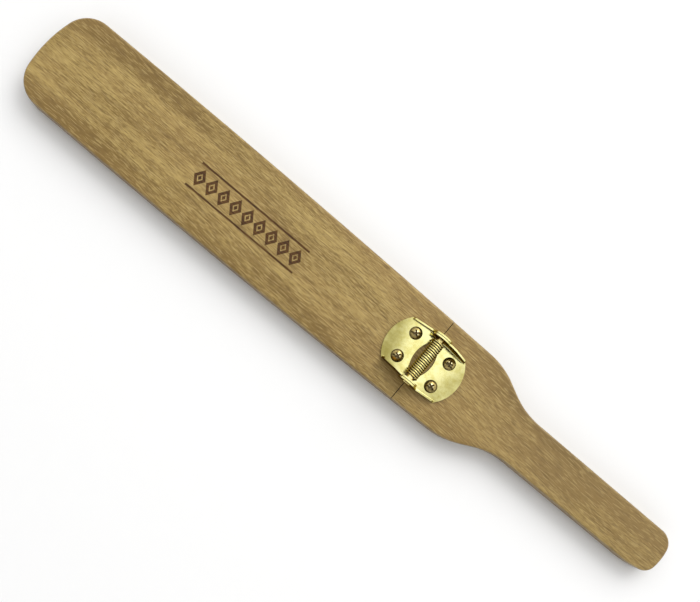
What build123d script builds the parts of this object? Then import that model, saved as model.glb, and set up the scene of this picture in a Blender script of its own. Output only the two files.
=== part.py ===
from build123d import *
import math
import os

# Percussion slapstick (whip clapper): two thin hardwood boards that clap together.
# The lower board runs the full length and carries the handle. The short upper board
# is the flap, held shut by a sprung brass hinge that lies over the cross seam.
# Millimetres. X runs from the flap tip to the handle end, Z is up, and the origin is
# under the middle of the length, on the face that the clapper rests on.

# ---- driving dimensions ---------------------------------------------------------
LENGTH = 432.6             # 17 in overall
LAYER = 6.35               # each board, 1/4 in
JOINT_GAP = 0.1            # air between the flap and the board under it
SEAM_X = 263.9             # flap tip to the middle of the cross seam
SEAM_KERF = 0.4            # saw cut between flap and handle block

# Half widths and stations of the outline, measured from the tip
TIP_HALF = 28.65           # at the wide end
WAIST_X, WAIST_HALF = 170.0, 28.5
SHOULDER_X, SHOULDER_HALF = 300.3, 25.95
NECK_X, NECK_HALF = 324.9, 13.6
GRIP_END_HALF = 12.9
BUTT_CUT_X = 418.7         # where the long corner of the butt starts
BUTT_CORNER = (430.9, -10.85)
TIP_CROWN = 5.6            # how far the tip bows out
TIP_SKEW = 1.9             # how far one tip corner stands ahead of the other
TIP_RADII = (16.7, 16.3)   # +Y corner, -Y corner
SHOULDER_RADIUS = 42.5
NECK_RADIUS = 44.0
BUTT_CROWN = 2.6
BUTT_RADII = (8.9, 7.5)    # +Y corner, -Y corner
BUTT_CUT_RADIUS = 39.0
OUTER_ROUND = 1.4          # rounding of the long outside edges
INNER_ROUND = 0.35         # eased edges where the two layers meet

# Hinge: two equal stamped leaves, one turned end for end and set over by half a nest
SHEET = 0.9
NEST_GAP = 0.3             # air between the two ears on each side
NEST = (SHEET + NEST_GAP) / 2
AXIS_HEIGHT = 6.4          # pin axis above the wood
LEAF_REACH = 24.0          # pin axis to the crown of the leaf's rounded end
LEAF_END_RADIUS = 20.2
LEAF_HALF = 14.0           # over the side flanges at their ends
EAR_HALF = 15.15           # over the ears, which stand further out
EAR_RADIUS = 5.6
EAR_STRAIGHT = 5.8         # how far from the axis the ear stays flat
EAR_RAMP = 11.8            # length over which the flange draws in from its ear
LEAF_INNER = 2.7           # pin axis to the plate's inner edge
WINDOW_HALF = 9.8          # half width of the rounded window under the spring
WINDOW_REACH = 5.9
BEND_INSIDE = 0.55         # inside radius of the flange bend
BEND_OUTSIDE = 0.8
STEP_RADIUS = 3.0          # softens the two slight bends in the flange
PROFILE_RADIUS = 1.6       # softens the flange's top corners
FLANGE_END = 17.3          # where the flanges' tops end
# Top corners of each flange, out from the pin axis and up: at its end and below its ear
TALL_TOP = [(FLANGE_END, 6.4), (9.6, 10.0)]
LOW_TOP = [(FLANGE_END, 2.6), (6.5, 4.2)]

# Screws, pin and spring
SCREW_OUT = 12.2           # pin axis to the screw row
SCREW_HALF = 7.85          # each screw from the leaf's middle line
SCREW_HEAD = 7.2
SCREW_DOME = 1.9
SCREW_SHANK = 3.4
SCREW_ROOT = 2.5
SCREW_PITCH = 1.3
SCREW_LENGTH = 6.35        # under the head
SCREW_TIP = 0.15
SCREW_RIM = 0.3            # straight edge under the dome
RECESS_WIDTH = 0.95
RECESS_REACH = 3.7
RECESS_DEPTH = 1.4
SCREW_TURNS = {"handle": (12, 68), "flap": (40, 65)}  # how far each recess is turned
HOLE_GAP = 0.1             # clearance round the screw shank in the leaf
PIN_RADIUS = 1.75
PIN_FIT = 0.05             # radial clearance of the pin in the flap's ears
PIN_HEAD = 2.6
PIN_HEAD_HEIGHT = 0.7
COIL_RADIUS = 3.7          # outside
WIRE = 1.3
TURNS = 18
SPRING_LENGTH = 23.8
LEG_DROP_GAP = 0.05        # leg end above the leaf it presses on

TOP = 2 * LAYER
AXIS_Z = TOP + AXIS_HEIGHT
RAMP_END = EAR_STRAIGHT + EAR_RAMP
FLANGE_FOOT = LEAF_REACH - LEAF_END_RADIUS + math.sqrt(LEAF_END_RADIUS**2 - LEAF_HALF**2)


def soften(sketch, points, radius):
    """Round the sketch's corners nearest to the given points."""
    for x, y in points:
        corner = min(sketch.vertices(), key=lambda v: math.hypot(v.X - x, v.Y - y))
        sketch = fillet(corner, radius)
    return sketch


def outline():
    """Plan of the whole clapper, X measured from the tip."""
    tip_plus = (TIP_CROWN + TIP_SKEW, TIP_HALF)
    tip_minus = (TIP_CROWN - TIP_SKEW, -TIP_HALF)
    butt_plus = (LENGTH - BUTT_CROWN, GRIP_END_HALF)
    with BuildSketch() as plan:
        with BuildLine():
            ThreePointArc(tip_minus, (0, -TIP_HALF / 4), tip_plus)
            ThreePointArc(tip_plus, (WAIST_X, WAIST_HALF), (SHOULDER_X, SHOULDER_HALF))
            Line((SHOULDER_X, SHOULDER_HALF), (NECK_X, NECK_HALF))
            Line((NECK_X, NECK_HALF), butt_plus)
            ThreePointArc(butt_plus, (LENGTH, 0), BUTT_CORNER)
            Line(BUTT_CORNER, (BUTT_CUT_X, -GRIP_END_HALF))
            Line((BUTT_CUT_X, -GRIP_END_HALF), (NECK_X, -NECK_HALF))
            Line((NECK_X, -NECK_HALF), (SHOULDER_X, -SHOULDER_HALF))
            ThreePointArc((SHOULDER_X, -SHOULDER_HALF), (WAIST_X, -WAIST_HALF), tip_minus)
        make_face()
    rounds = [
        (tip_plus, TIP_RADII[0]),
        (tip_minus, TIP_RADII[1]),
        ((SHOULDER_X, SHOULDER_HALF), SHOULDER_RADIUS),
        ((SHOULDER_X, -SHOULDER_HALF), SHOULDER_RADIUS),
        ((NECK_X, NECK_HALF), NECK_RADIUS),
        ((NECK_X, -NECK_HALF), NECK_RADIUS),
        (butt_plus, BUTT_RADII[0]),
        (BUTT_CORNER, BUTT_RADII[1]),
        ((BUTT_CUT_X, -GRIP_END_HALF), BUTT_CUT_RADIUS),
    ]
    sketch = plan.sketch
    for point, radius in rounds:
        sketch = soften(sketch, [point], radius)
    return sketch


PLAN = outline()
MIDDLE = PLAN.bounding_box().center()
AXIS_X = SEAM_X - MIDDLE.X


def board(x_from, x_to, z_from, z_to, round_top, round_bottom):
    """One layer of the outline between two stations, eased all round but for the sawn seam."""
    slab = extrude(PLAN, amount=z_to - z_from)
    length = x_to - x_from
    window = Pos((x_from + x_to) / 2, 0, 0) * Box(length, 4 * TIP_HALF, 4 * TOP)
    blank = slab & window
    top = blank.faces().sort_by(Axis.Z)[-1]
    blank = fillet(top.edges().filter_by(Axis.Y, reverse=True), round_top)
    bottom = blank.faces().sort_by(Axis.Z)[0]
    blank = fillet(bottom.edges().filter_by(Axis.Y, reverse=True), round_bottom)
    return Pos(-MIDDLE.X, -MIDDLE.Y, z_from) * blank


def screw_pilot(x, y):
    """The hole that a screw's thread fills in the wood."""
    depth = SCREW_LENGTH - SHEET
    return Pos(x, y, TOP - depth / 2) * Cylinder(SCREW_SHANK / 2, depth)


def leaf_plan():
    """Flat plate of one leaf: rounded end outward, sides spreading toward the ears."""
    steps = [(RAMP_END, LEAF_HALF), (EAR_STRAIGHT, EAR_HALF)]
    with BuildSketch() as plan:
        with BuildLine():
            Polyline(
                (FLANGE_FOOT, LEAF_HALF), *steps, (LEAF_INNER, EAR_HALF), (LEAF_INNER, WINDOW_HALF)
            )
            ThreePointArc((LEAF_INNER, WINDOW_HALF), (WINDOW_REACH, 0), (LEAF_INNER, -WINDOW_HALF))
            Polyline(
                (LEAF_INNER, -WINDOW_HALF), (LEAF_INNER, -EAR_HALF),
                *[(x, -y) for x, y in reversed(steps)], (FLANGE_FOOT, -LEAF_HALF),
            )
            ThreePointArc((FLANGE_FOOT, -LEAF_HALF), (LEAF_REACH, 0), (FLANGE_FOOT, LEAF_HALF))
        make_face()
    return soften(plan.sketch, steps + [(x, -y) for x, y in steps], STEP_RADIUS)


def flange_strip(side):
    """Plan strip, one sheet thick, that follows one flange out to its ear."""
    outer = [(RAMP_END, LEAF_HALF), (EAR_STRAIGHT, EAR_HALF)]
    inner = [(x, y - SHEET) for x, y in reversed(outer)]
    with BuildSketch() as strip:
        with BuildLine():
            Polyline(
                (FLANGE_FOOT, LEAF_HALF), *outer, (-EAR_STRAIGHT, EAR_HALF),
                (-EAR_STRAIGHT, EAR_HALF - SHEET), *inner, (FLANGE_FOOT, LEAF_HALF - SHEET),
                close=True,
            )
        make_face()
    sketch = soften(strip.sketch, outer + inner, STEP_RADIUS)
    return sketch if side > 0 else mirror(sketch, Plane.XZ)


def flange_side(tops):
    """Side view of a flange and its round ear, one leaf's reach out from the pin axis."""
    reach = EAR_RADIUS - 1.0
    rise = math.sqrt(EAR_RADIUS**2 - reach**2)
    with BuildSketch() as side:
        with BuildLine():
            Polyline(
                (LEAF_INNER, 0), (FLANGE_FOOT, 0), (FLANGE_FOOT, SHEET), *tops,
                (reach, AXIS_HEIGHT + rise), (0, AXIS_HEIGHT), (LEAF_INNER, AXIS_HEIGHT - reach),
                close=True,
            )
        make_face()
        with Locations((0, AXIS_HEIGHT)):
            Circle(EAR_RADIUS)
    return soften(side.sketch, tops, PROFILE_RADIUS)


def bend_edges(leaf, height, inset):
    """The leaf's edges at one height that run along the foot of its two flanges."""
    edges = ShapeList()
    for edge in leaf.edges():
        box = edge.bounding_box()
        level = abs(box.min.Z - height) + abs(box.max.Z - height) < 1e-3
        middle = edge.center()
        along = LEAF_INNER + 0.1 < middle.X < FLANGE_FOOT - 0.1
        if level and along and abs(middle.Y) > LEAF_HALF - inset - 0.1:
            edges.append(edge)
    return edges


def hinge_leaf(tall_side, pin_hole):
    """One stamped leaf, reaching along +X from the pin axis, its underside at Z 0."""
    leaf = extrude(leaf_plan(), amount=SHEET)
    for side in (1, -1):
        tops = TALL_TOP if side == tall_side else LOW_TOP
        strip = extrude(flange_strip(side), amount=AXIS_HEIGHT + EAR_RADIUS)
        view = Plane.XZ.offset(-EAR_HALF - SHEET) * flange_side(tops)
        leaf = leaf + (strip & extrude(view, amount=2 * (EAR_HALF + SHEET)))
    leaf = fillet(bend_edges(leaf, SHEET, SHEET), BEND_INSIDE)
    leaf = fillet(bend_edges(leaf, 0, 0), BEND_OUTSIDE)
    pin = Pos(0, 0, AXIS_HEIGHT) * Rot(90, 0, 0) * Cylinder(pin_hole, 4 * EAR_HALF)
    leaf = leaf - pin
    for across in (-SCREW_HALF, SCREW_HALF):
        leaf = leaf - Pos(SCREW_OUT, across, 0) * Cylinder(SCREW_SHANK / 2 + HOLE_GAP, 4 * SHEET)
    return leaf


def screw():
    """Dome-head cross-recess wood screw, its head's underside at Z 0, shank down."""
    rim = SCREW_HEAD / 2
    crown = SCREW_DOME - SCREW_RIM
    dome = (rim**2 + crown**2) / (2 * crown)
    with BuildSketch(Plane.XZ) as half:
        with BuildLine():
            Polyline((0, SCREW_DOME), (0, 0), (rim, 0), (rim, SCREW_RIM))
            RadiusArc((rim, SCREW_RIM), (0, SCREW_DOME), -dome)
        make_face()
    head = revolve(half.sketch, Axis.Z)
    bit = Pos(0, 0, SCREW_DOME - RECESS_DEPTH / 2) * (
        Box(RECESS_REACH, RECESS_WIDTH, RECESS_DEPTH) + Box(RECESS_WIDTH, RECESS_REACH, RECESS_DEPTH)
    )
    core = SCREW_ROOT / 2
    crest = SCREW_SHANK / 2
    turns = int((SCREW_LENGTH - SHEET - crest) / SCREW_PITCH)
    with BuildSketch(Plane.XZ) as half:
        with BuildLine():
            points = [(0, 0), (crest, 0), (crest, -SHEET)]
            for turn in range(turns):
                top = -SHEET - turn * SCREW_PITCH
                points.append((core, top - SCREW_PITCH / 2))
                points.append((crest, top - SCREW_PITCH))
            points += [(SCREW_TIP, -SCREW_LENGTH), (0, -SCREW_LENGTH)]
            Polyline(*points, close=True)
        make_face()
    shank = revolve(half.sketch, Axis.Z)
    return head - bit + shank


def hinge_pin():
    """Straight pin through all four ears, riveted over at both ends, along Y."""
    reach = EAR_HALF + NEST
    body = Cylinder(PIN_RADIUS, 2 * reach)
    for end in (1, -1):
        head = Cylinder(PIN_HEAD, PIN_HEAD_HEIGHT)
        head = fillet(head.edges().sort_by(Axis.Z)[-1], PIN_HEAD_HEIGHT * 0.8)
        placed = Pos(0, 0, reach + PIN_HEAD_HEIGHT / 2) * head
        body = body + (placed if end > 0 else mirror(placed, Plane.XY))
    return Rot(90, 0, 0) * body


def torsion_spring():
    """Close-wound coil round the pin, with one short leg down on to each leaf."""
    pitch = SPRING_LENGTH / TURNS
    mean = COIL_RADIUS - WIRE / 2
    valley = COIL_RADIUS - 0.3 * WIRE
    with BuildSketch() as half:
        with BuildLine():
            for turn in range(TURNS):
                y = -SPRING_LENGTH / 2 + turn * pitch
                ThreePointArc((valley, y), (COIL_RADIUS, y + pitch / 2), (valley, y + pitch))
            Polyline(
                (valley, SPRING_LENGTH / 2), (COIL_RADIUS - WIRE, SPRING_LENGTH / 2),
                (COIL_RADIUS - WIRE, -SPRING_LENGTH / 2), (valley, -SPRING_LENGTH / 2),
            )
        make_face()
    coil = revolve(half.sketch, Axis.Y)
    drop = AXIS_HEIGHT - SHEET - LEG_DROP_GAP
    leg = Pos(mean, 0, -drop / 2) * Cylinder(WIRE / 2, drop)
    along = SPRING_LENGTH / 2 - 0.55 * WIRE
    return coil + Pos(0, -along, 0) * leg + Pos(0, along, 0) * mirror(leg, Plane.YZ)


def build():
    """All pieces in place, by the name of their file."""
    half_kerf = SEAM_KERF / 2
    flap = board(-1, SEAM_X - half_kerf, LAYER + JOINT_GAP, TOP, OUTER_ROUND, INNER_ROUND)
    block = board(SEAM_X + half_kerf, LENGTH + 1, LAYER, TOP, OUTER_ROUND, INNER_ROUND)
    base = board(-1, LENGTH + 1, 0, LAYER, INNER_ROUND, OUTER_ROUND)

    parts = {}
    for name, way, hole in (("handle", 1, PIN_RADIUS), ("flap", -1, PIN_RADIUS + PIN_FIT)):
        turn = Rot(0, 0, 0 if way > 0 else 180)
        place = Pos(AXIS_X, -way * NEST, TOP)
        parts[f"{name}_hinge_leaf"] = place * turn * hinge_leaf(1, hole)
        for across, label, recess in zip((SCREW_HALF, -SCREW_HALF), "ab", SCREW_TURNS[name]):
            x, y = AXIS_X + way * SCREW_OUT, -way * NEST + across
            parts[f"{name}_screw_{label}"] = Pos(x, y, TOP + SHEET) * Rot(0, 0, recess) * screw()
            if way > 0:
                block = block - screw_pilot(x, y)
            else:
                flap = flap - screw_pilot(x, y)

    parts["base_board"] = base
    parts["handle_block"] = block
    parts["flap_board"] = flap
    parts["hinge_pin"] = Pos(AXIS_X, 0, AXIS_Z) * hinge_pin()
    parts["torsion_spring"] = Pos(AXIS_X, 0, AXIS_Z) * torsion_spring()
    return parts


os.makedirs("parts", exist_ok=True)
for node, shape in build().items():
    export_step(shape, f"parts/{node}.step")
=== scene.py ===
import math

import bpy
import numpy as np
from mathutils import Matrix, Vector


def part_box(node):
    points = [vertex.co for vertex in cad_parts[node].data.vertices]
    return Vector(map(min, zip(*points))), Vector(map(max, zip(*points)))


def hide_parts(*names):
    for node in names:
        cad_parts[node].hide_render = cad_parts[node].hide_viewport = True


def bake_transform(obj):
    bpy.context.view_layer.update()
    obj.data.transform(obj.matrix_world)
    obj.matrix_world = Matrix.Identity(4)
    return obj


# Percussion slapstick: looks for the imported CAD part. Metres, in the part's own frame:
# X from the flap tip to the handle end, Y across, Z up, the pin axis along Y.

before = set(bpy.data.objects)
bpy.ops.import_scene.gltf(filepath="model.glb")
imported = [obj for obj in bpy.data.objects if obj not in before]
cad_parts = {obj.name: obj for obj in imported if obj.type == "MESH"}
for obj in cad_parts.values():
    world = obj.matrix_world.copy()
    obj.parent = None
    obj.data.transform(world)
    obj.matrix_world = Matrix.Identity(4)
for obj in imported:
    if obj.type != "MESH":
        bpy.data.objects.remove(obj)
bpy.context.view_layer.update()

PIN_LOW, PIN_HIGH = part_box("hinge_pin")
AXIS_X = (PIN_LOW.x + PIN_HIGH.x) / 2
AXIS_Z = (PIN_LOW.z + PIN_HIGH.z) / 2
SPRING_LOW, SPRING_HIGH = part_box("torsion_spring")
WOOD_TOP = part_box("handle_block")[1].z

# ---- camera and light -----------------------------------------------------------
CAMERA_AT = Vector((-0.00951, -0.0658, 0.4827))
CAMERA_TARGET = Vector((-0.00276, -0.05127, 0.0127))
CAMERA_ROLL = 0.69652      # radians between the object's length and the picture's level
CAMERA_LENS = 45.2         # mm on a 36 mm wide sensor
CAMERA_SHIFT = (0.0858, 0.1026)

# studio brightness overhead: toward +Y, in a dark strip just on the -Y side of the zenith, and
# toward -Y; then the even brightness all round at a low angle
LIT_SIDE, FLAG, DIM_SIDE, HORIZON = 1.34, 0.08, 0.80, 1.05
FLOOR_HALF = 30.0

# ---- burned ornament on the flap --------------------------------------------------
BORDER_X, BORDER_Y = -0.0735, -0.0022
BORDER_PITCH, BORDER_COUNT = 0.0083, 9
LOZENGE_HALF_WIDTH = 0.46  # as a share of the pitch
LOZENGE_HALF_HEIGHT = 0.0054
RULE_OFFSET, RULE_HALF = 0.0073, 0.00055   # the two lines: middle to line, and half a line

# ---- wood and screws --------------------------------------------------------------
GROWTH_PITCH = 0.0058      # between growth lines
DOME_RADIUS = 0.00485      # sphere that a screw head's top is cut from
RECESS_LIMIT = 0.0023      # screw axis to just past the ends of the cross

# ---- spring ---------------------------------------------------------------------
WIRE_RADIUS = 0.00050
COIL_RADIUS = 0.00315      # axis to the middle of the wire
COIL_TURNS = 17
STEPS_PER_TURN = 28
LEG_STEPS = 8
WIRE_SIDES = 12


class Nodes:
    """Short calls for the nodes used most, in one tree."""

    def __init__(self, tree):
        self.tree = tree

    def feed(self, socket, value):
        if isinstance(value, bpy.types.NodeSocket):
            self.tree.links.new(value, socket)
        else:
            socket.default_value = value

    def node(self, kind, inputs, **settings):
        made = self.tree.nodes.new("ShaderNode" + kind)
        for key, value in settings.items():
            setattr(made, key, value)
        for key, value in inputs.items():
            self.feed(made.inputs[key], value)
        return made

    def math(self, operation, a, b=0.0, c=0.0):
        return self.node("Math", {0: a, 1: b, 2: c}, operation=operation).outputs[0]

    def step(self, value, low, high, start=0.0, end=1.0):
        """A smooth change from start to end while value goes from low to high."""
        inputs = {"Value": value, "From Min": low, "From Max": high, "To Min": start, "To Max": end}
        return self.node("MapRange", inputs, interpolation_type="SMOOTHSTEP").outputs[0]

    def mix(self, factor, a, b):
        return self.node("Mix", {0: factor, 6: a, 7: b}, data_type="RGBA").outputs[2]

    def stain(self, colour, where, share, tint):
        """Colour taken share of the way to tint where the pattern is 1."""
        return self.mix(self.math("MULTIPLY", where, share), colour, tint)

    def scaled(self, vector, scale, location=(0, 0, 0), rotation=(0, 0, 0)):
        inputs = {"Vector": vector, "Scale": scale, "Location": location, "Rotation": rotation}
        return self.node("Mapping", inputs).outputs[0]

    def noise(self, vector, scale, detail=2.0, roughness=0.5):
        """Noise with scale features to the metre along X, Y and Z."""
        inputs = {"Vector": self.scaled(vector, scale), "Scale": 1.0, "Detail": detail,
                  "Roughness": roughness}
        return self.node("TexNoise", inputs).outputs[0]

    def split(self, vector):
        return self.node("SeparateXYZ", {0: vector}).outputs

    def join(self, x, y, z):
        return self.node("CombineXYZ", {0: x, 1: y, 2: z}).outputs[0]

    def length(self, x, y, z):
        return self.node("VectorMath", {0: self.join(x, y, z)}, operation="LENGTH").outputs["Value"]


class Shader(Nodes):
    """One node material."""

    def __init__(self, name):
        self.material = bpy.data.materials.new(name)
        self.material.use_nodes = True
        super().__init__(self.material.node_tree)
        self.tree.nodes.clear()
        self.output = self.tree.nodes.new("ShaderNodeOutputMaterial")
        self.place = self.node("TexCoord", {}).outputs["Object"]
        self.facing = self.node("TexCoord", {}).outputs["Normal"]

    def bump(self, height, distance):
        inputs = {"Height": height, "Distance": distance, "Strength": 1.0}
        return self.node("Bump", inputs).outputs[0]

    def finish(self, colour, roughness, normal, **values):
        inputs = {"Base Color": colour, "Roughness": roughness, "Normal": normal}
        inputs.update({key.replace("_", " "): value for key, value in values.items()})
        surface = self.node("BsdfPrincipled", inputs)
        self.tree.links.new(surface.outputs[0], self.output.inputs[0])
        return self.material


def rgb(red, green, blue):
    return (red, green, blue, 1.0)


BRASS_EDGE = rgb(0.50, 0.36, 0.12)   # the metal's reflection at a grazing angle


# ---- wood -----------------------------------------------------------------------
def burned_border(s):
    """Plain ornament burned into the flap: a row of lozenges between two lines."""
    x, y, z = s.split(s.place)
    along = s.math("SUBTRACT", x, BORDER_X)
    away = s.math("ABSOLUTE", s.math("SUBTRACT", y, BORDER_Y))
    half_length = BORDER_PITCH * BORDER_COUNT / 2
    inside = s.math("LESS_THAN", s.math("ABSOLUTE", along), half_length)
    rule = s.math("LESS_THAN", s.math("ABSOLUTE", s.math("SUBTRACT", away, RULE_OFFSET)), RULE_HALF)
    turns = s.math("DIVIDE", s.math("ADD", along, half_length), BORDER_PITCH)
    cell = s.math("ABSOLUTE", s.math("SUBTRACT", s.math("FRACT", turns), 0.5))
    reach = s.math("ADD", s.math("DIVIDE", cell, LOZENGE_HALF_WIDTH),
                   s.math("DIVIDE", away, LOZENGE_HALF_HEIGHT))
    # reach is 0 in the middle of a lozenge and 1 on its outline
    ring = s.math("COMPARE", reach, 0.74, 0.26)
    heart = s.math("LESS_THAN", reach, 0.28)
    figure = s.math("MAXIMUM", rule, s.math("MAXIMUM", ring, heart))
    top = s.math("GREATER_THAN", z, WOOD_TOP - 0.0003)
    return s.math("MULTIPLY", s.math("MULTIPLY", figure, inside), top)


def wood(name, seed, slope, burned=False):
    """Oiled pale hardwood: flowing figure along X, short pore dashes and worn edges."""
    s = Shader(name)
    start = s.scaled(s.place, (1, 1, 1), seed, (0, 0, slope))
    x, y, z = s.split(start)
    sway = s.math("MULTIPLY_ADD", s.noise(start, (7, 16, 16), 2.0, 0.45), 0.010, -0.005)
    flow_y = s.math("ADD", y, sway)
    flow = s.join(x, flow_y, z)
    # patterns from the broadest to the finest, then the growth lines
    bands = s.scaled(flow, (1, 1, 1), (0.31, 0.017, 0.0))
    broad = s.noise(bands, (5, 48, 48), 2.0, 0.5)
    cloud = s.noise(flow, (16, 150, 150), 1.0)
    streak = s.noise(flow, (125, 1500, 1500), 2.0, 0.6)
    fibre = s.noise(flow, (330, 3200, 3200), 2.0, 0.6)
    fleck = s.step(s.noise(flow, (150, 1500, 1500), 1.0, 0.5), 0.53, 0.64)
    pore = s.step(s.noise(flow, (150, 2100, 2100), 1.0, 0.4), 0.57, 0.67)
    ring = s.math("SINE", s.math("MULTIPLY", s.math("ADD", flow_y, z), math.tau / GROWTH_PITCH))
    line = s.step(ring, 0.60, 0.99)
    line = s.math("MULTIPLY", line, s.step(s.noise(start, (11, 60, 60)), 0.45, 0.62))

    # their sum, shifted so that the darkest wood is at 0 and the palest at 1
    tone = -2.59
    for pattern, weight in ((broad, 2.1), (cloud, 0.9), (streak, 1.4), (fibre, 1.4)):
        tone = s.math("MULTIPLY_ADD", pattern, weight, tone)
    colour = s.mix(s.step(tone, 0.0, 1.0), rgb(0.180, 0.106, 0.020), rgb(0.430, 0.303, 0.094))
    warm = s.step(s.noise(start, (6, 34, 34), 2.0), 0.40, 0.60, 0.0, 0.30)
    colour = s.mix(warm, colour, rgb(0.360, 0.228, 0.072))
    colour = s.stain(colour, fleck, 0.38, rgb(0.53, 0.395, 0.150))
    colour = s.stain(colour, line, 0.22, rgb(0.150, 0.086, 0.022))
    colour = s.stain(colour, pore, 0.42, rgb(0.110, 0.060, 0.015))

    # end grain, painted shade on the sides, worn rounded edges, and the grip
    facing = s.split(s.facing)
    lengthwise = s.math("ABSOLUTE", facing[0])
    upright = s.math("ABSOLUTE", facing[2])
    end = s.step(lengthwise, 0.55, 0.92)
    dots = s.step(s.noise(start, (900, 1500, 1500), 2.0), 0.50, 0.66)
    end_colour = s.mix(dots, rgb(0.235, 0.150, 0.052), rgb(0.120, 0.070, 0.022))
    colour = s.stain(colour, end, 0.8, end_colour)
    # painted shade: faces turned sideways are darkened as if in shade
    side = s.step(upright, 0.75, 0.15)
    colour = s.stain(colour, side, 0.65, rgb(0.115, 0.082, 0.040))
    rounding = s.math("MULTIPLY", s.step(upright, 0.995, 0.85), s.step(upright, 0.2, 0.5))
    worn = s.math("MULTIPLY", rounding, s.step(s.noise(start, (60, 60, 60), 3.0), 0.35, 0.65))
    colour = s.stain(colour, worn, 0.20, rgb(0.47, 0.36, 0.18))
    held = s.step(s.split(s.place)[0], 0.045, 0.15)
    held = s.math("MULTIPLY", held, s.step(s.noise(start, (22, 40, 40), 3.0), 0.1, 0.6, 0.55, 1.0))
    colour = s.stain(colour, held, 0.22, rgb(0.205, 0.145, 0.062))

    height = s.math("MULTIPLY_ADD", pore, -0.7, s.math("MULTIPLY", fibre, 0.35))
    height = s.math("MULTIPLY_ADD", streak, 0.5, height)
    rough = s.math("MULTIPLY_ADD", streak, 0.16, 0.36)
    rough = s.math("MULTIPLY_ADD", pore, 0.14, rough)
    rough = s.math("MULTIPLY_ADD", rounding, -0.05, rough)
    if burned:
        mark = burned_border(s)
        char = s.mix(s.step(streak, 0.35, 0.65), rgb(0.040, 0.015, 0.003), rgb(0.105, 0.044, 0.009))
        colour = s.stain(colour, mark, 0.97, char)
        height = s.math("MULTIPLY_ADD", mark, -1.6, height)
        rough = s.math("MULTIPLY_ADD", mark, 0.40, rough)
    return s.finish(colour, rough, s.bump(height, 0.00006), Specular_IOR_Level=0.42)


# ---- metals ---------------------------------------------------------------------
def plated(name, pale, deep, far_shade, low, high, waves=0.00012, wound=False):
    """Brass plating with mottling, faint waves and fine scratches. Painted shade darkens it toward
    the ends of the leaves and on faces turned sideways, and wound adds painted shade between wire
    turns and on the flanks of the coil."""
    s = Shader(name)
    mottle = s.noise(s.place, (420, 420, 420), 4.0, 0.6)
    cloud = s.noise(s.place, (110, 150, 150), 3.0, 0.5)
    wave = s.noise(s.place, (55, 75, 75), 1.0, 0.4)
    grain = s.noise(s.place, (2600, 2600, 2600), 2.0, 0.6)
    scratch = s.noise(s.scaled(s.place, (1, 1, 1), rotation=(0, 0, 0.6)), (260, 3800, 3800), 2.0)
    scratch = s.step(scratch, 0.60, 0.70)
    tarnish = s.step(s.math("MULTIPLY_ADD", mottle, 0.5, s.math("MULTIPLY", cloud, 0.5)), 0.38, 0.66)
    colour = s.mix(tarnish, pale, deep)
    x, y, z = s.split(s.place)
    # painted shade: the brass darkens toward the leaves' outer ends and toward -Y, more on the flap
    # side
    far = s.math("SUBTRACT", x, AXIS_X)
    slant = s.math("MULTIPLY_ADD", y, -0.35, s.math("ABSOLUTE", far))
    shade = s.math("MULTIPLY", s.step(slant, 0.007, 0.023), s.step(cloud, 0.25, 0.60, 0.7, 1.0))
    shade = s.math("MULTIPLY", shade, s.step(far, -0.010, 0.010, 0.95, 0.70))
    colour = s.mix(shade, colour, far_shade)
    # painted shade: faces turned sideways, the inner faces of the flanges most, are darkened as if
    # in shade
    sideways = s.math("MULTIPLY", s.split(s.facing)[1], s.math("SIGN", y))
    inward = s.step(sideways, -0.45, -0.80, 0.0, 0.88)
    outward = s.step(sideways, 0.45, 0.80, 0.0, 0.55)
    colour = s.mix(s.math("MAXIMUM", inward, outward), colour, rgb(0.175, 0.098, 0.022))
    if wound:
        reach = s.length(far, 0.0, s.math("SUBTRACT", z, AXIS_Z))
        # painted shade on the flanks of the coil
        flank = s.step(s.math("ABSOLUTE", far), 0.0012, 0.0030, 0.0, 0.60)
        colour = s.mix(flank, colour, rgb(0.26, 0.185, 0.050))
        # painted shade in the gaps between the wire turns, inside the coil's middle radius
        coil_gap_shade = s.step(reach, COIL_RADIUS + 0.00035, COIL_RADIUS, 0.0, 0.96)
        colour = s.mix(coil_gap_shade, colour, rgb(0.040, 0.026, 0.008))
    rough = s.math("MULTIPLY_ADD", tarnish, high - low, low)
    rough = s.math("MULTIPLY_ADD", scratch, 0.08, rough)
    height = s.math("MULTIPLY_ADD", mottle, 0.10, s.math("MULTIPLY", grain, 0.035))
    height = s.math("MULTIPLY_ADD", wave, 1.0, height)
    height = s.math("MULTIPLY_ADD", scratch, -0.02, height)
    return s.finish(colour, rough, s.bump(height, waves), Metallic=1.0, Specular_Tint=BRASS_EDGE)


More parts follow.
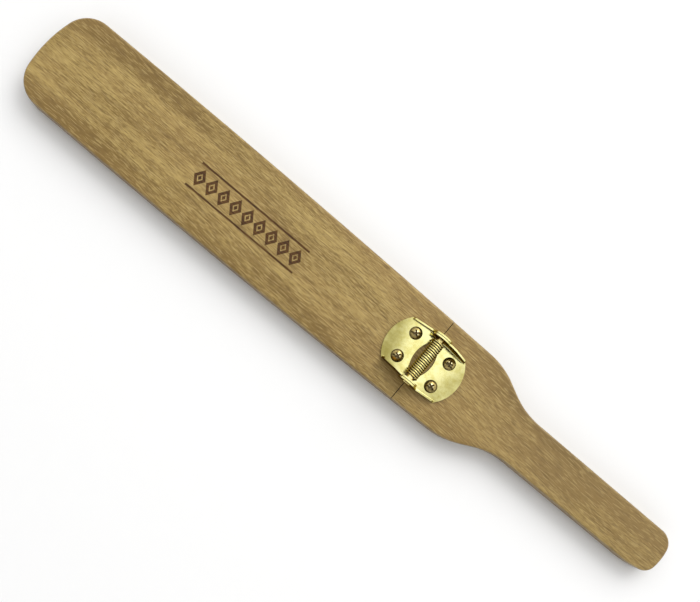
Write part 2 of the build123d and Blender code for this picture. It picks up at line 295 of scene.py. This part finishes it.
def screw_brass(name, screws):
    """Antique brass dome heads of one leaf, with a painted highlight on top of the dome and painted
    shade in the recess and round the edge.
    """
    s = Shader(name)
    boxes = [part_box(screw) for screw in screws]
    middle = [sum(low[k] + high[k] for low, high in boxes) / 4 for k in range(2)]
    half_gap = abs(boxes[0][0].y + boxes[0][1].y - 2 * middle[1]) / 2
    x, y, z = s.split(s.place)
    u = s.math("SUBTRACT", x, middle[0])
    v = s.math("SUBTRACT", s.math("ABSOLUTE", s.math("SUBTRACT", y, middle[1])), half_gap)
    w = s.math("SUBTRACT", z, boxes[0][1].z - DOME_RADIUS)
    reach = s.length(u, v, w)
    out = s.length(u, v, 0.0)
    # painted shade in the cross recess
    recess_shade = s.step(reach, DOME_RADIUS - 0.00008, DOME_RADIUS - 0.0006)
    recess_shade = s.math("MULTIPLY", recess_shade, s.math("LESS_THAN", out, RECESS_LIMIT))
    # darker ring round the edge of the head: soiling plus painted shade where the dome meets the
    # leaf
    rim = s.step(out, 0.0024, 0.0034)
    mottle = s.noise(s.place, (900, 900, 900), 3.0, 0.6)
    rim_dirt_and_shade = s.math("MULTIPLY", rim, s.step(mottle, 0.3, 0.6, 0.7, 1.0))
    colour = s.mix(s.step(mottle, 0.35, 0.65), rgb(0.44, 0.35, 0.135), rgb(0.26, 0.19, 0.065))
    colour = s.stain(colour, rim_dirt_and_shade, 0.85, rgb(0.055, 0.038, 0.014))
    colour = s.stain(colour, recess_shade, 0.9, rgb(0.045, 0.028, 0.012))
    # painted highlight: a pale spot on the top of the dome, outside the recess
    crown_highlight = s.math("MULTIPLY", s.step(out, 0.0017, 0.0008), s.math("SUBTRACT", 1.0, recess_shade))
    colour = s.stain(colour, crown_highlight, 0.8, rgb(0.80, 0.73, 0.45))
    rough = s.math("MULTIPLY_ADD", mottle, 0.12, 0.14)
    rough = s.math("MULTIPLY_ADD", rim_dirt_and_shade, 0.18, rough)
    return s.finish(colour, rough, s.bump(mottle, 0.00003), Metallic=1.0, Specular_Tint=BRASS_EDGE)


# ---- meshes ---------------------------------------------------------------------
def new_mesh(name, points, faces, material):
    mesh = bpy.data.meshes.new(name)
    mesh.from_pydata([tuple(p) for p in points], [], faces)
    mesh.update()
    mesh.polygons.foreach_set("use_smooth", [True] * len(mesh.polygons))
    mesh.materials.append(material)
    made = bpy.data.objects.new(name, mesh)
    bpy.context.scene.collection.objects.link(made)
    return made


def swept_wire(path, radius, sides):
    """Vertices and faces of a round wire along path, with flat ends."""
    path = np.array(path, float)
    along = np.gradient(path, axis=0)
    along /= np.linalg.norm(along, axis=1)[:, None]
    across = np.cross(along[0], (0.3, 0.1, 1.0))
    points, faces = [], []
    turn = np.linspace(0, math.tau, sides, endpoint=False)
    count = len(path)
    for i in range(count):
        across = across - along[i] * (across @ along[i])
        across /= np.linalg.norm(across)
        up = np.cross(along[i], across)
        ring = np.cos(turn)[:, None] * across + np.sin(turn)[:, None] * up
        points.extend(path[i] + radius * ring)
    for i in range(count - 1):
        for k in range(sides):
            a, b = i * sides + k, i * sides + (k + 1) % sides
            faces.append((a, b, b + sides, a + sides))
    faces.append(tuple(range(sides - 1, -1, -1)))
    faces.append(tuple(range((count - 1) * sides, count * sides)))
    return points, faces


def torsion_spring(material):
    """Close-wound spring on the pin. Each end runs straight down onto its own leaf:
    at -Y on the handle side, at +Y on the flap side."""
    y_low = SPRING_LOW.y + WIRE_RADIUS
    y_high = SPRING_HIGH.y - WIRE_RADIUS
    steps = COIL_TURNS * STEPS_PER_TURN
    # the coil starts on the +X side and ends on the -X side, half a turn on
    angles = np.linspace(0, math.tau * (COIL_TURNS + 0.5), steps + 1)
    ys = np.linspace(y_low, y_high, steps + 1)
    coil = [(AXIS_X + COIL_RADIUS * math.cos(a), y, AXIS_Z + COIL_RADIUS * math.sin(a))
            for a, y in zip(angles, ys)]
    foot = SPRING_LOW.z
    drop = np.linspace(0, 1, LEG_STEPS + 1)[1:]
    first = [(coil[0][0], y_low, AXIS_Z + (foot - AXIS_Z) * d) for d in drop][::-1]
    last = [(coil[-1][0], y_high, AXIS_Z + (foot - AXIS_Z) * d) for d in drop]
    points, faces = swept_wire(first + coil + last, WIRE_RADIUS, WIRE_SIDES)
    spring = new_mesh("coiled_spring", points, faces, material)
    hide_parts("torsion_spring")
    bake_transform(spring)


def dress(material, *names):
    for name in names:
        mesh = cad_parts[name].data
        mesh.materials.clear()
        mesh.materials.append(material)


def soft_light(name, at, target, size, power, colour):
    data = bpy.data.lights.new(name, "AREA")
    data.shape, data.size, data.energy, data.color = "SQUARE", size, power, colour
    lamp = bpy.data.objects.new(name, data)
    lamp.location = at
    lamp.rotation_euler = (Vector(target) - Vector(at)).to_track_quat("-Z", "Y").to_euler()
    bpy.context.scene.collection.objects.link(lamp)


def studio():
    s = Shader("pale_floor")
    speck = s.noise(s.place, (90, 90, 90), 2.0)
    colour = s.mix(s.math("MULTIPLY", speck, 0.3), rgb(0.90, 0.90, 0.90), rgb(0.87, 0.87, 0.87))
    floor_shader = s.finish(colour, 0.85, s.bump(speck, 0.00001), Specular_IOR_Level=0.1)
    corners = [(x * FLOOR_HALF, y * FLOOR_HALF, 0) for x, y in ((-1, -1), (1, -1), (1, 1), (-1, 1))]
    floor = new_mesh("pale_floor", corners, [(0, 1, 2, 3)], floor_shader)

    world = bpy.data.worlds.new("studio")
    world.use_nodes = True
    sky = Nodes(world.node_tree)
    direction = sky.split(sky.node("TexCoord", {}).outputs["Generated"])
    lit = sky.step(direction[1], -0.10, 0.06, FLAG, LIT_SIDE)
    dim = sky.step(direction[1], -0.30, -0.50, 0.0, DIM_SIDE - FLAG)
    overhead = sky.step(direction[2], 0.15, 0.45)
    level = sky.node("Mix", {"Factor": overhead, "A": HORIZON, "B": sky.math("ADD", lit, dim)})
    background = sky.tree.nodes["Background"]
    sky.feed(background.inputs["Strength"], level.outputs["Result"])
    sky.feed(background.inputs["Color"], rgb(1.0, 1.0, 1.0))
    bpy.context.scene.world = world
    soft_light("key", (0.15, 1.0, 0.95), (0, 0, 0), 0.9, 8.0, (1.0, 0.99, 0.965))


def camera():
    forward = (CAMERA_TARGET - CAMERA_AT).normalized()
    up = Vector((-math.sin(CAMERA_ROLL), math.cos(CAMERA_ROLL), 0.0))
    right = forward.cross(up).normalized()
    up = right.cross(forward)
    data = bpy.data.cameras.new("camera")
    data.lens, data.sensor_width, data.clip_start = CAMERA_LENS, 36.0, 0.01
    data.shift_x, data.shift_y = CAMERA_SHIFT
    view = bpy.data.objects.new("camera", data)
    turn = Matrix((right, up, -forward)).transposed().to_4x4()
    view.matrix_world = Matrix.Translation(CAMERA_AT) @ turn
    bpy.context.scene.collection.objects.link(view)
    bpy.context.scene.camera = view


dress(wood("hardwood_flap", (0.31, 0.0, 0.10), 0.03, burned=True), "flap_board")
dress(wood("hardwood_handle", (0.31, 0.0, 0.10), 0.03), "handle_block")
dress(wood("hardwood_base", (1.7, 0.02, 0.31), -0.02), "base_board")
plate = plated("brass_plate", rgb(0.86, 0.82, 0.40), rgb(0.72, 0.65, 0.23), rgb(0.26, 0.22, 0.055),
               0.10, 0.20)
dress(plate, "handle_hinge_leaf", "flap_hinge_leaf")
pin = plated("brass_pin", rgb(0.90, 0.79, 0.36), rgb(0.62, 0.50, 0.18), rgb(0.50, 0.40, 0.12),
             0.17, 0.28, waves=0.00003)
dress(pin, "hinge_pin")
for leaf in ("handle", "flap"):
    pair = (leaf + "_screw_a", leaf + "_screw_b")
    dress(screw_brass("antique_brass_" + leaf, pair), *pair)
torsion_spring(plated("brass_wire", rgb(0.92, 0.84, 0.36), rgb(0.58, 0.47, 0.14),
                      rgb(0.30, 0.22, 0.06), 0.14, 0.24, waves=0.00003, wound=True))
studio()
camera()
bpy.context.scene.view_settings.view_transform = "Standard"
